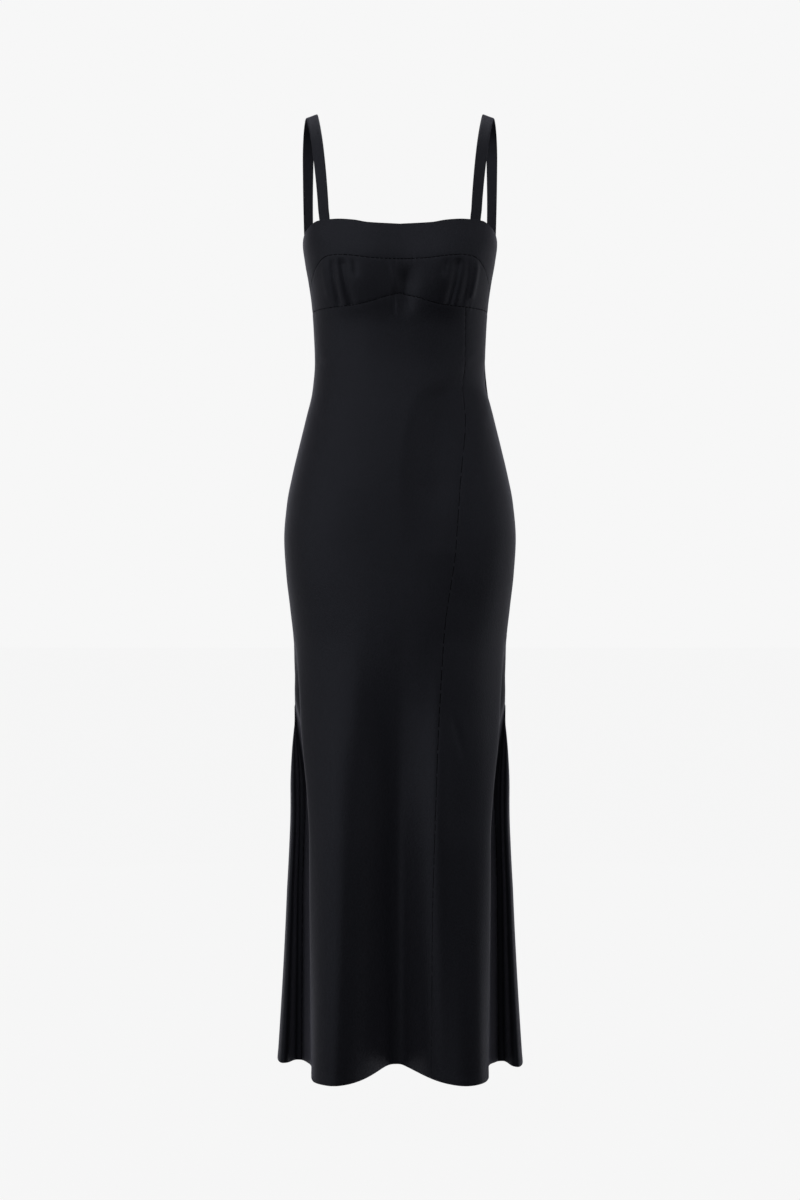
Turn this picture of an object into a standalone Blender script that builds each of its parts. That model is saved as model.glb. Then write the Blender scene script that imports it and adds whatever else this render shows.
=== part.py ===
"""Slip dress: a long black satin dress on two shoulder straps, hollow and open as it is worn.

Metres, +Z up. The front faces -Y, +X is the wearer's left. The origin is midway between the tops of
the two straps, where the shoulders carry the dress.

The cloth is one tube, given by how far it stands from the vertical axis at each angle and height.
Angles are in degrees round that axis: 0 is the centre front, 90 the wearer's left side, 180 the
centre back, -90 the wearer's right side. Each panel is a stretch of that tube between its seams,
as a wall of even thickness.
"""

import math

import bpy
import numpy as np

# Driving dimensions, in metres.
WALL = 0.0015  # the cloth with its facing or seam allowance
SEAM_GAP = 0.0003  # between two panels
HEM_Z = -1.350  # the level of the hem's lowest stretches, below the strap tops
SIDE_SEAM = 90.0  # degrees
SIDE_GAP = 0.07  # degrees, half the gap at a side seam
SEAM_RADIUS = 0.12  # the distance from the axis at which a seam's slope is taken
SLANT_GAP_SHARE = 1.2  # the slanting seam crosses the angles askew
STRAP_WIDTH = 0.017
STRAP_THICKNESS = 0.0022
FLARE_START_Z = -0.725  # where the skirt begins to break into flutes
SIDE_FLARE_START_Z = -0.740  # the like for the flutes beyond the front column's edges
SIDE_FLARE_END_Z = -0.960
KNEE_Z = -1.087  # where the flutes are as the knee column states
HEM_FLARE_START_Z = -0.95  # where the flutes begin to open on to their size at the hem

# The figure that the cut follows: half width, and depth in front of and behind the axis.
# corner is the exponent of the outline: 2 is an ellipse, and more is squarer.
SECTIONS = {
    "z": (-0.150, -0.185, -0.210, -0.240, -0.270, -0.310, -0.350, -0.390, -0.430,
          -0.470, -0.510, -0.550, -0.600, -0.650, -0.700, -0.750, -0.800, -0.850, -0.900),
    "half_width": (0.1350, 0.1370, 0.1338, 0.1285, 0.1247, 0.1222, 0.1208, 0.1240, 0.1332,
                   0.1430, 0.1524, 0.1600, 0.1640, 0.1612, 0.1556, 0.1509, 0.1530, 0.1560, 0.1615),
    "front": (0.090, 0.094, 0.095, 0.092, 0.089, 0.083, 0.081, 0.085, 0.091,
              0.096, 0.100, 0.102, 0.103, 0.103, 0.103, 0.102, 0.101, 0.100, 0.100),
    "back": (0.082, 0.088, 0.088, 0.086, 0.083, 0.078, 0.075, 0.079, 0.090,
             0.102, 0.112, 0.119, 0.123, 0.120, 0.114, 0.108, 0.104, 0.102, 0.102),
    "corner": (3.20, 3.10, 2.90, 2.60, 2.45, 2.35, 2.30, 2.30, 2.30,
               2.35, 2.45, 2.60, 2.70, 2.60, 2.38, 2.20, 2.12, 2.10, 2.10),
}

# The skirt's flutes: the distance from the axis of each crest and valley, at the knee and at the
# hem, and how far the hem rises above HEM_Z there. First those across the front.
FRONT_FLUTES = {
    "angle": (-46, -36, -30, -25, -20, -12, 0, 9, 17, 25, 32, 40, 49),
    "knee": (0.142, 0.1345, 0.122, 0.110, 0.0975, 0.0845, 0.0795, 0.086, 0.0985, 0.1075, 0.116, 0.1262,
             0.1385),
    "hem": (0.155, 0.153, 0.126, 0.098, 0.071, 0.058, 0.056, 0.060, 0.076, 0.1015, 0.1235, 0.143,
            0.150),
    "rise": (0.000, 0.000, 0.001, 0.006, 0.014, 0.016, 0.016, 0.013, 0.010, 0.004, -0.0005, -0.003,
             -0.0015),
}

# Then those from the fold at the edge of the front column round to the back, the same on both
# sides but for the hem's rise. The turns are how far the cloth has swung back round the axis from
# its angle, in degrees: the outer flute swings forward over the valley behind the column.
SIDE_FLUTES = {
    "angle": (59, 65, 71, 80, 88, 94, 101, 107, 114, 122, 130),
    "knee": (0.1455, 0.138, 0.1262, 0.1264, 0.1369, 0.1466, 0.1502, 0.1563, 0.1622, 0.1646,
             0.1460),
    "knee_turn": (0.0, 0.0, 2.4, 5.5, 8.7, 4.6, -8.0, -13.4, -12.1, -10.3, -7.4),
    "hem": (0.143, 0.135, 0.124, 0.127, 0.1417, 0.1538, 0.1606, 0.1716, 0.1821, 0.1869,
            0.1637),
    "hem_turn": (0.0, 0.0, 2.6, 9.1, 15.1, 10.3, -6.0, -12.3, -9.7, -6.0, -5.0),
    "rise_left": (0.000, 0.001, 0.003, 0.003, 0.000, 0.000, -0.002, -0.003, -0.001, 0.000, 0.002),
    "rise_right": (0.000, 0.001, 0.003, 0.003, 0.002, 0.002, 0.003, 0.003, 0.005, 0.002, 0.002),
}

# And those across the back, from the wearer's left to the right.
BACK_FLUTES = {
    "angle": (143, 157, 174, 187, 197, 207, 219),
    "knee": (0.151, 0.119, 0.128, 0.119, 0.124, 0.118, 0.148),
    "knee_turn": (-4.5, -2.0, 0.0, 0.0, 0.0, 1.5, 4.5),
    "hem": (0.180, 0.126, 0.158, 0.133, 0.149, 0.124, 0.176),
    "hem_turn": (-3.0, -1.0, 0.0, 0.0, 0.0, 1.0, 3.0),
    "rise": (0.000, 0.002, 0.000, 0.001, 0.000, 0.002, 0.000),
}

# The fold at each edge of the front column: its angle down the skirt. The side flutes beyond it are
# squeezed together above, where it starts.
COLUMN_EDGE = {
    "z": (-0.700, -0.750, -0.790, -0.830, -0.860, -0.920, -0.970, -1.030, -1.350),
    "angle": (81.0, 78.5, 76.3, 73.6, 71.0, 65.5, 62.0, 59.3, 59.0),
}

# The fold that starts behind that edge, higher up than the flutes: its depth, how far behind the edge
# it runs in degrees, and how much fuller the skirt is beyond it.
COLUMN_FOLD = {
    "z": (-0.740, -0.790, -0.830, -0.860, -0.890, -0.945, -1.000, -1.040, -1.100),
    "depth": (0.0000, 0.0060, 0.0110, 0.0105, 0.0090, 0.0060, 0.0020, 0.0000, 0.0000),
    "behind": (5.5, 6.0, 7.0, 7.8, 8.5, 9.0, 9.0, 9.0, 9.0),
    "beyond": (0.0000, 0.0010, 0.0050, 0.0028, 0.0013, -0.0008, -0.0018, -0.0012, 0.0000),
}
FOLD_SPREAD = 5.0

# The top edge of the band: the neckline in front, the armholes at the sides, the back.
NECK = {
    "angle": (0, 25, 36, 47, 58, 66, 72.5, 79, 90, 108, 124, 145, 180),
    "z": (-0.1690, -0.1665, -0.1625, -0.1605, -0.1610, -0.1680, -0.1750, -0.1825, -0.1890,
          -0.1900, -0.1890, -0.1930, -0.1960),
}

# The seam between the band and the bust panel: level across, and down round each cup to the side.
BAND_SEAM = {
    "angle": (0, 18, 28, 34, 42, 48, 53, 56.5, 61, 66, 72, 78, 82, 86),
    "z": (-0.2185, -0.2176, -0.2152, -0.2133, -0.2118, -0.2124, -0.2165, -0.2222, -0.2290,
          -0.2380, -0.2465, -0.2545, -0.2640, -0.2815),
}

# The seam under the bust, which goes on round the back at the foot of the band.
UNDERBUST = {
    "angle": (0, 14, 24, 33, 42, 60, 90, 180),
    "z": (-0.2638, -0.2698, -0.2752, -0.2788, -0.2805, -0.2812, -0.2815, -0.2815),
}

# The slanting seam that parts the front from the wearer's left side front.
SLANT_SEAM = {
    "z": (-0.280, -0.377, -0.438, -0.506, -0.577, -0.648, -0.719, -0.849, -1.015, -1.135, -1.350),
    "x": (0.0905, 0.0915, 0.0941, 0.0886, 0.0811, 0.0727, 0.0624, 0.0520, 0.0445, 0.0412, 0.0395),
}

# How the bust stands out of the section: one swell on each side.
CUP_ANGLE = 41.0
CUP_SWELL = 0.014
CUP_SPREAD = 27.0  # degrees
CUP_Z = -0.236
CUP_FADE_UP = 0.052
CUP_FADE_DOWN = 0.046
CUP_MEET = 14.0  # how flat the cloth spans the middle between them, in degrees

# The soft folds of the bust panel, the same on both sides: the angle at its top and bottom edge, the
# half width in degrees towards the wearer's right and left, the height (a trough is negative), and
# how far down the panel it ends, 0 at the band and 1 at the seam under the bust. The last is the
# hollow between the cups.
PLEATS = {
    "top": (51.2, 46.6, 40.8, 32.0, 0.0),
    "bottom": (54.0, 48.8, 40.2, 32.0, 0.0),
    "right": (2.6, 2.0, 2.2, 2.4, 8.0),
    "left": (2.4, 3.0, 4.6, 4.0, 6.0),
    "height": (0.0014, -0.0016, -0.0028, -0.0013, -0.0034),
    "end": (0.85, 1.05, 1.10, 0.50, 0.95),
}
PLEAT_OPENS = 0.22  # the share of the panel over which each deepens, and that over which it closes
PLEAT_CLOSES = 0.20

# The strap's middle line on the wearer's left, from the band's front edge over the shoulder to the
# band's back edge. turn is how far its width has turned from X round the vertical, and roll how far
# it slopes down outwards, in degrees.
STRAP = {
    "x": (0.1052, 0.1072, 0.1110, 0.1160, 0.1217, 0.1258, 0.1295, 0.1318,
          0.1325, 0.1325, 0.1317, 0.1303),
    "y": (-0.0775, -0.0735, -0.0640, -0.0490, -0.0260, 0.0000, 0.0240, 0.0380,
          0.0450, 0.0480, 0.0476, 0.0454),
    "z": (-0.1600, -0.1280, -0.0870, -0.0470, -0.0150, -0.0011, -0.0130, -0.0420,
          -0.0800, -0.1200, -0.1600, -0.1895),
    "turn": (30.0, 28.0, 23.0, 16.0, 8.0, 0.0, -8.0, -20.0, -32.0, -39.0, -42.0, -44.0),
    "roll": (0.0, 2.0, 6.0, 11.0, 17.0, 20.0, 17.0, 11.0, 6.0, 2.0, 0.0, 0.0),
}
STRAP_STATIONS = 27

SATIN = ((0.011, 0.011, 0.014, 1.0), 0.42)  # colour and roughness


def through(xs, ys, x):
    """A smooth curve through the points (xs, ys), with no overshoot, at x. xs rise."""
    xs, ys, x = (np.asarray(a, float) for a in (xs, ys, x))
    step = np.diff(xs)
    slope = np.diff(ys) / step
    before, after = slope[:-1], slope[1:]
    weight_a = 2 * step[1:] + step[:-1]
    weight_b = step[1:] + 2 * step[:-1]
    same_way = before * after > 0
    safe = np.where(same_way, before, 1.0), np.where(same_way, after, 1.0)
    middle = (weight_a + weight_b) / (weight_a / safe[0] + weight_b / safe[1])
    tangent = np.concatenate([[slope[0]], np.where(same_way, middle, 0.0), [slope[-1]]])
    i = np.clip(np.searchsorted(xs, x) - 1, 0, len(step) - 1)
    t = np.clip((x - xs[i]) / step[i], 0.0, 1.0)
    rise = ys[i] * (1 + 2 * t) * (1 - t) ** 2 + ys[i + 1] * t * t * (3 - 2 * t)
    return rise + step[i] * (tangent[i] * t * (1 - t) ** 2 - tangent[i + 1] * t * t * (1 - t))


def down_table(table, column, z):
    """A column of a table whose rows go down the dress, at height z."""
    return through(-np.array(table["z"]), table[column], -np.asarray(z, float))


def flutes(right, front, left, back, angle):
    """The flutes' tables as one curve right round the dress, at an angle. right and left have a value
    for each row of SIDE_FLUTES, and front and back for each row of their own tables."""
    sides = np.array(SIDE_FLUTES["angle"], float)
    angles = np.concatenate([-sides[::-1], FRONT_FLUTES["angle"], sides, BACK_FLUTES["angle"]])
    values = np.concatenate([right[::-1], front, left, back])
    turns = np.concatenate([angles - 360, angles, angles + 360])
    return through(turns, np.tile(values, 3), wrapped(angle))


def flute_radius(level, angle):
    """The flutes' distance from the axis, at the level "knee" or "hem"."""
    side = SIDE_FLUTES[level]
    return flutes(side, FRONT_FLUTES[level], side, BACK_FLUTES[level], angle)


def flute_turn(level, angle):
    """How far the flutes have swung round the axis, at the level "knee" or "hem"."""
    side = np.array(SIDE_FLUTES[level + "_turn"])
    front = np.zeros(len(FRONT_FLUTES["angle"]))
    return flutes(-side, front, side, BACK_FLUTES[level + "_turn"], angle)


def mirrored_edge(table, angle):
    """The height of an edge or seam that is the same on both sides of the dress."""
    return through(table["angle"], table["z"], np.abs(wrapped(angle)))


def wrapped(angle):
    return (np.asarray(angle, float) + 180.0) % 360.0 - 180.0


def bell(distance, spread):
    return np.exp(-((distance / spread) ** 2))


def eased(value, start, end):
    """0 before start, 1 after end, and smooth between them."""
    t = np.clip((value - start) / (end - start), 0.0, 1.0)
    return t * t * (3 - 2 * t)


def section_radius(angle, z):
    """How far the smooth figure stands from the axis."""
    turn = np.radians(angle)
    front, back = down_table(SECTIONS, "front", z), down_table(SECTIONS, "back", z)
    depth = np.where(np.cos(turn) > 0, front, back)
    corner = down_table(SECTIONS, "corner", z)
    across = np.abs(np.sin(turn)) / down_table(SECTIONS, "half_width", z)
    along = np.abs(np.cos(turn)) / depth
    return (across**corner + along**corner) ** (-1.0 / corner)


def cup_swell(angle, z):
    """How far the bust stands out of the smooth figure."""
    fade = np.where(z > CUP_Z, CUP_FADE_UP, CUP_FADE_DOWN)
    level = bell(z - CUP_Z, fade)
    return level * CUP_SWELL * bell(np.hypot(wrapped(angle), CUP_MEET) - CUP_ANGLE, CUP_SPREAD)


def beyond_column(angle, z):
    """1 over the side flutes, and 0 over the front column and the back."""
    side, edge = np.abs(wrapped(angle)), down_table(COLUMN_EDGE, "angle", z)
    return eased(side, edge, edge + 10) * (1 - eased(side, 118, 138))


def flare_shares(angle, z):
    """How far the skirt has taken the flutes' form at the knee, and then that at the hem."""
    column = eased(-z, -FLARE_START_Z, -KNEE_Z)
    side = eased(-z, -SIDE_FLARE_START_Z, -SIDE_FLARE_END_Z)
    knee = column + (side - column) * beyond_column(angle, z)
    hem = np.clip((HEM_FLARE_START_Z - z) / (HEM_FLARE_START_Z - HEM_Z), 0.0, 1.1) ** 1.5
    return knee, hem


def tube_radius(angle, z):
    """How far the cloth stands from the axis, without the bust panel's pleats."""
    figure = section_radius(angle, z) + cup_swell(angle, z)
    at_knee, at_hem = flare_shares(angle, z)
    knee, hem = flute_radius("knee", flute_angle(angle, z)), flute_radius("hem", angle)
    fluted = figure * (1 - at_knee) + knee * at_knee + (hem - knee) * at_hem
    middle = down_table(COLUMN_EDGE, "angle", z) + down_table(COLUMN_FOLD, "behind", z)
    fold = bell(np.abs(wrapped(angle)) - middle, FOLD_SPREAD)
    fuller = down_table(COLUMN_FOLD, "beyond", z) * beyond_column(angle, z)
    return fluted + fuller - down_table(COLUMN_FOLD, "depth", z) * fold


def tube_turn(angle, z):
    """How far the cloth has swung round the axis."""
    at_knee, at_hem = flare_shares(angle, z)
    knee, hem = flute_turn("knee", flute_angle(angle, z)), flute_turn("hem", angle)
    return knee * at_knee + (hem - knee) * at_hem


def flute_angle(angle, z):
    """The angle at which the flutes' tables are read, given where the column's edge is."""
    side = np.abs(wrapped(angle))
    edge = down_table(COLUMN_EDGE, "angle", z)
    foot, last = COLUMN_EDGE["angle"][-1], SIDE_FLUTES["angle"][-1]
    inside = side * foot / edge
    outside = foot + (side - edge) * (last - foot) / (last - edge)
    read = np.where(side < edge, inside, np.where(side < last, outside, side))
    return read * np.sign(wrapped(angle))


def place(radius, angle, z):
    """Points of the cloth, as an array whose last side is x, y, z."""
    turn = np.radians(angle + tube_turn(angle, z))
    z = np.broadcast_to(z, np.shape(radius))
    return np.stack([radius * np.sin(turn), -radius * np.cos(turn), z], axis=-1)


def cloth_point(angle, z, share=None):
    """A point on the outside of the cloth. Only the bust panel's folds depend on share."""
    return place(tube_radius(angle, z), angle, z)


def pleated_point(angle, z, share):
    """A point on the outside of the bust panel. share is 0 at its top and 1 at its foot."""
    radius = tube_radius(angle, z)
    for top, bottom, right, left, height, end in zip(*(PLEATS[c] for c in PLEATS)):
        away = (np.abs(angle) - top - (bottom - top) * share) * np.where(angle < 0, -1, 1)
        strength = eased(share, 0, PLEAT_OPENS) * (1 - eased(share, end - PLEAT_CLOSES, end))
        radius = radius + height * strength * bell(away, np.where(away > 0, left, right))
    return place(radius, angle, z)


def hem_height(angle):
    right, left = SIDE_FLUTES["rise_right"], SIDE_FLUTES["rise_left"]
    return HEM_Z + flutes(right, FRONT_FLUTES["rise"], left, BACK_FLUTES["rise"], angle)


def slant_angle(z):
    """The angle of the slanting seam at height z, found by halving."""
    x = down_table(SLANT_SEAM, "x", z)
    low, high = np.zeros_like(x), np.full_like(x, SIDE_SEAM)
    for _ in range(40):
        middle = (low + high) / 2
        inside = tube_radius(middle, z) * np.sin(np.radians(middle)) < x
        low, high = np.where(inside, middle, low), np.where(inside, high, middle)
    return (low + high) / 2


def runs(*stretches):
    """Numbers from stretch to stretch, each given as (start, end, steps)."""
    parts = [np.linspace(start, end, steps + 1)[:-1] for start, end, steps in stretches]
    return np.concatenate([*parts, [stretches[-1][1]]])


def wall_solid(name, outer, inner, material):
    """A closed wall between two grids of points, rows down and columns across."""
    rows, columns = outer.shape[:2]
    count = rows * columns
    index = np.arange(count).reshape(rows, columns)

    def quads(a, b, c, d):
        return np.stack([a.ravel(), b.ravel(), c.ravel(), d.ravel()], axis=1)

    faces = [
        quads(index[:-1, :-1], index[1:, :-1], index[1:, 1:], index[:-1, 1:]),
        quads(index[:-1, :-1], index[:-1, 1:], index[1:, 1:], index[1:, :-1]) + count,
    ]
    rim = np.concatenate([index[0, :], index[1:, -1], index[-1, -2::-1], index[-2:0:-1, 0]])
    after = np.roll(rim, -1)
    faces.append(quads(rim, after, after + count, rim + count))
    mesh = bpy.data.meshes.new(name)
    points = np.concatenate([outer.reshape(-1, 3), inner.reshape(-1, 3)])
    mesh.from_pydata(points.tolist(), [], np.concatenate(faces).tolist())
    mesh.shade_smooth()
    mesh.set_sharp_from_angle(angle=math.radians(50))
    mesh.materials.append(material)
    bpy.context.scene.collection.objects.link(bpy.data.objects.new(name, mesh))


def normals_of(point, angle, z, share):
    """The cloth's outward direction at each point, from points close by."""
    turn, drop = 0.05, 0.0005
    across = point(angle + turn, z, share) - point(angle - turn, z, share)
    down = point(angle, z - drop, share) - point(angle, z + drop, share)
    normal = np.cross(down, across)
    return normal / np.linalg.norm(normal, axis=-1, keepdims=True)


def panel(name, point, angle, top, bottom, shares, material):
    """A panel between two seams. angle is a grid of rows down and columns across, and top and
    bottom give the heights of its upper and lower edge at each of its points' angles."""
    share = np.broadcast_to(shares[:, None], angle.shape)
    z = top(angle) + (bottom(angle) - top(angle)) * share
    outer = point(angle, z, share)
    inward = normals_of(point, angle, z, share)
    inward[[0, -1], :, 2] = 0  # the upper and lower edges are cut level, so that a seam's gap is even
    inward /= -np.linalg.norm(inward, axis=-1, keepdims=True)
    wall_solid(name, outer, outer + WALL * inward, material)


def parted(edge, way):
    """An edge moved off a seam by half its gap, square to the seam. way is 1 for up, -1 for down."""

    def moved(angle):
        rise = (edge(angle + 0.2) - edge(angle - 0.2)) / (0.4 * math.radians(1) * SEAM_RADIUS)
        return edge(angle) + way * SEAM_GAP / 2 * np.sqrt(1 + rise**2)

    return moved


def neck(angle):
    return mirrored_edge(NECK, angle)


def underbust(angle):
    return mirrored_edge(UNDERBUST, angle)


def band_foot(angle):
    """The band's lower seam in front: round the cups, then level to the side seam."""
    inside = np.abs(wrapped(angle)) < BAND_SEAM["angle"][-1]
    seam = np.maximum(mirrored_edge(BAND_SEAM, angle), underbust(angle))
    return np.where(inside, seam, underbust(angle))


def bust_columns():
    """The angles of the bust panel's columns, closest over its folds."""
    half = runs((0, 22, 4), (22, 54, 14), (54, 76, 5), (76, BAND_SEAM["angle"][-1] - 1.0, 3))
    return np.concatenate([-half[:0:-1], half])


def grid_of(columns, shares):
    return np.broadcast_to(columns, (len(shares), len(columns)))


def make_bands(material):
    shares = np.linspace(0, 1, 6)
    side = np.array([BAND_SEAM["angle"][-1] + 1.0, SIDE_SEAM - SIDE_GAP])
    columns = np.concatenate([-side[::-1], bust_columns(), side])
    foot = parted(band_foot, 1)
    panel("band_front", cloth_point, grid_of(columns, shares), neck, foot, shares, material)
    columns = np.linspace(SIDE_SEAM + SIDE_GAP, 360 - SIDE_SEAM - SIDE_GAP, 27)
    foot = parted(underbust, 1)
    panel("band_back", cloth_point, grid_of(columns, shares), neck, foot, shares, material)


def make_bust_panel(material):
    shares = np.linspace(0, 1, 9)
    top, foot = parted(band_foot, -1), parted(underbust, 1)
    panel("bust_panel", pleated_point, grid_of(bust_columns(), shares), top, foot, shares, material)


def make_skirt(material):
    """The long panels, from the seam under the bust to the hem."""
    shares = runs((0, 0.03, 1), (0.03, 0.33, 7), (0.33, 1, 12))
    z = UNDERBUST["z"][-1] + (HEM_Z - UNDERBUST["z"][-1]) * shares
    slant = slant_angle(z)
    slant_gap = np.degrees(SEAM_GAP / 2 / tube_radius(slant, z)) * SLANT_GAP_SHARE
    side = np.full_like(z, SIDE_SEAM - SIDE_GAP)
    fluted = runs((0, 0.36, 12), (0.36, 1, 21))
    pieces = (
        ("front_panel", -side, slant - slant_gap, fluted),
        ("front_side_panel", slant + slant_gap, side, runs((0, 0.35, 5), (0.35, 1, 10))),
        ("back_panel", 180 - side, 180 + side, runs((0, 0.2, 12), (0.2, 0.8, 30), (0.8, 1, 12))),
    )
    for name, left, right, columns in pieces:
        grid = left[:, None] + (right - left)[:, None] * columns[None, :]
        panel(name, cloth_point, grid, parted(underbust, -1), hem_height, shares, material)


def make_strap(name, side, material):
    """One strap, from the band's front edge over the shoulder to its back edge. side is 1 for the
    wearer's left and -1 for the right."""
    corners = ((-0.5, 0.5), (0.5, 0.5), (0.5, -0.5), (-0.5, -0.5))
    middle = np.stack([STRAP[c] for c in ("x", "y", "z")], axis=1)
    rows = np.arange(len(middle), dtype=float)
    length = np.concatenate([[0], np.cumsum(np.linalg.norm(np.diff(middle, axis=0), axis=1))])
    at = through(length, rows, np.linspace(0, length[-1], STRAP_STATIONS))
    line = np.stack([natural(rows, middle[:, k], at) for k in range(3)], axis=1)
    turn = np.radians(natural(rows, np.array(STRAP["turn"]), at))
    line[:, 0] *= side
    roll = np.radians(natural(rows, np.array(STRAP["roll"]), at))
    level = np.cos(roll)
    width = np.stack([side * np.cos(turn) * level, np.sin(turn) * level, -np.sin(roll)], axis=1)
    tangent = np.gradient(line, axis=0)
    tangent /= np.linalg.norm(tangent, axis=1, keepdims=True)
    normal = np.cross(width, tangent) * side
    normal /= np.linalg.norm(normal, axis=1, keepdims=True)
    ring = [line + STRAP_WIDTH * u * width + STRAP_THICKNESS * v * normal for u, v in corners]
    points = np.stack(ring, axis=1)
    sides = len(corners)
    faces = []
    for i in range(STRAP_STATIONS - 1):
        for j in range(sides):
            k = (j + 1) % sides
            faces.append((i * sides + j, i * sides + k, (i + 1) * sides + k, (i + 1) * sides + j))
    faces.append(tuple(reversed(range(sides))))
    faces.append(tuple(range((STRAP_STATIONS - 1) * sides, STRAP_STATIONS * sides)))
    if side < 0:
        faces = [tuple(reversed(face)) for face in faces]
    mesh = bpy.data.meshes.new(name)
    mesh.from_pydata(points.reshape(-1, 3).tolist(), [], faces)
    mesh.shade_smooth()
    mesh.set_sharp_from_angle(angle=math.radians(40))
    mesh.materials.append(material)
    bpy.context.scene.collection.objects.link(bpy.data.objects.new(name, mesh))


def natural(rows, values, at):
    """A smooth curve through evenly numbered rows, which may pass its highest value between them."""
    i = np.clip(at.astype(int), 0, len(rows) - 2)
    t = at - i
    before = values[np.maximum(i - 1, 0)]
    after = values[np.minimum(i + 2, len(rows) - 1)]
    a, b = values[i], values[i + 1]
    tangent_a = np.where(i > 0, (b - before) / 2, b - a)
    tangent_b = np.where(i < len(rows) - 2, (after - a) / 2, b - a)
    return (
        a * (1 + 2 * t) * (1 - t) ** 2
        + b * t * t * (3 - 2 * t)
        + tangent_a * t * (1 - t) ** 2
        - tangent_b * t * t * (1 - t)
    )


def satin():
    colour, roughness = SATIN
    material = bpy.data.materials.new("satin")
    material.use_nodes = True
    shader = material.node_tree.nodes["Principled BSDF"]
    shader.inputs["Base Color"].default_value = colour
    shader.inputs["Roughness"].default_value = roughness
    shader.inputs["Metallic"].default_value = 0.0
    material.diffuse_color = colour
    return material


def main():
    for old in list(bpy.data.objects):
        bpy.data.objects.remove(old, do_unlink=True)
    material = satin()
    make_bands(material)
    make_bust_panel(material)
    make_skirt(material)
    make_strap("strap_left", 1, material)
    make_strap("strap_right", -1, material)


main()
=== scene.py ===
"""Looks of the slip dress: each panel as a fine shell of black satin, in a white studio.

Metres, +Z up, front to -Y, +X the wearer's left, origin midway between the strap tops. Angles are in
degrees round the vertical axis: 0 centre front, 90 the wearer's left, 180 centre back.
"""

import math

import bpy
import numpy as np
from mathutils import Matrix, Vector


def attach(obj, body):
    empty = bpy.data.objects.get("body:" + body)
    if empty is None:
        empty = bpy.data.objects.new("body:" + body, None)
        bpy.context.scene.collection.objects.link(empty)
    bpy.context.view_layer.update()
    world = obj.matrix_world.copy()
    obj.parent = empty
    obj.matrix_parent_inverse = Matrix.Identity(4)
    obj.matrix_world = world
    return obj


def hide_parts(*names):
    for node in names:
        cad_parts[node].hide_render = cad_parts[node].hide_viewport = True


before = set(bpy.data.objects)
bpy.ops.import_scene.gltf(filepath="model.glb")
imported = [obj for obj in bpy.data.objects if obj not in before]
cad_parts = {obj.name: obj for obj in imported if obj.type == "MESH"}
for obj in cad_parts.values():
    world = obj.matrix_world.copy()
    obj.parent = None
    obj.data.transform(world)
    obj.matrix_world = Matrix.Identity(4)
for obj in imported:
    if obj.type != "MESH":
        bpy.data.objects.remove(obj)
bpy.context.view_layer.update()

# The camera: level, in front of the dress's middle.
CAMERA_DISTANCE = 3.0
CAMERA_Z = -0.687
FRAME_HEIGHT = 1.704  # what the picture's long side covers at the axis
SENSOR = 36.0

FLOOR_Z = -1.43  # under the hem of a dress held at shoulder height
FLOOR_SIZE = 60.0
WHITE = 0.93  # the background's brightness
FLOOR_LESS = 0.012  # how much less the floor gives off, as the lamps light it a little
AMBIENT = 0.0005  # the brightness that the dress sees all round, besides the lamps

# The cloth and its edges.
CLOTH = 0.0012
EDGE_ROUND = 0.00056  # how far in from an edge the folded cloth rounds over
SEAM_LAP = 0.0006  # how far two panels' edges share the space of their seam
SEAM_DITCH = 0.0003  # how far the cloth sinks towards a seam, and over what distance
SEAM_REACH = 0.0025
SLOT_DEPTH = 0.0010  # the narrow slot at the seam itself, and its half width
SLOT_REACH = 0.00060
SEAM_SHADE_LINE = 0.0008  # how far in from a panel's edge the seam shows dark: its stitches and turned edge, and painted shade in its ditch
STITCH = 0.0068  # how long each run of them is, with the short gap after it
STITCH_GAP = -0.8  # the gap is where a sine wave along the seam is below this
HEM_FOLD = 0.009  # the depth of the narrow hem
HEM_RISE = 0.00022  # how far its second layer stands out
HEM_STEP = 0.0006  # half the distance over which that layer ends
HEM_Z = -1.350
SIDE_SEAM = 90.0
BUST_SHORT = 1.0  # how far short of the ends of the band's seam the bust panel stops, in degrees

# Radii that turn degrees round the dress into metres along its cloth.
BODY_RADIUS = 0.13
SIDE_RADIUS = 0.14  # at the side seams, and for the weave
SLANT_RADIUS = 0.11  # at the slanting seam, and a rather smaller one for the lap of its edges
SLANT_LAP_RADIUS = 0.10

# The panels' grids: the distances of the first lines from an edge, then how many fine points respace
# the columns of a skirt panel, at what height, and how far they go from even angles to even cloth.
EDGE_STOPS = (0.0, 0.00015, 0.00030, 0.00045, 0.00060, 0.0008, 0.0011, 0.0018, 0.0027)
EVENED_POINTS = 1441
EVENED_Z = -1.28
EVENED = 0.65

# A strap's ribbon.
STRAP_WIDTH = 0.017
STRAP_THICKNESS = 0.0020
STRAP_SQUARE = (0.35, 0.8)  # how round its cross section is, across and through: 1 is an ellipse
STRAP_MIDDLE = 0.72  # how full its middle is, as a share of its edges
STRAP_TUCK = 0.006  # how far its ends go down behind the band
STRAP_INSET = 0.0009  # how far in they lie there, and over what length they come out again
STRAP_INSET_RUN = 0.012
STRAP_END = 0.25  # the share of the thickness that they keep, and where it thins, up from the tuck
STRAP_THINS = (-0.0004, 0.0016)
STRAP_STATIONS = 260
STRAP_SIDES = 32

# Where the skirt flares, down the dress.
FLARE_START_Z = -0.725
SIDE_FLARE_START_Z = -0.740
SIDE_FLARE_END_Z = -0.960
KNEE_Z = -1.087
HEM_FLARE_START_Z = -0.95
HEM_FLARE_PAST = 1.1  # the share of the way to HEM_Z that it goes on for, as the hem dips below
FLARE_EASE = 0.3  # how gently it begins, and how fast it grows
FLARE_POWER = 0.75

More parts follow.
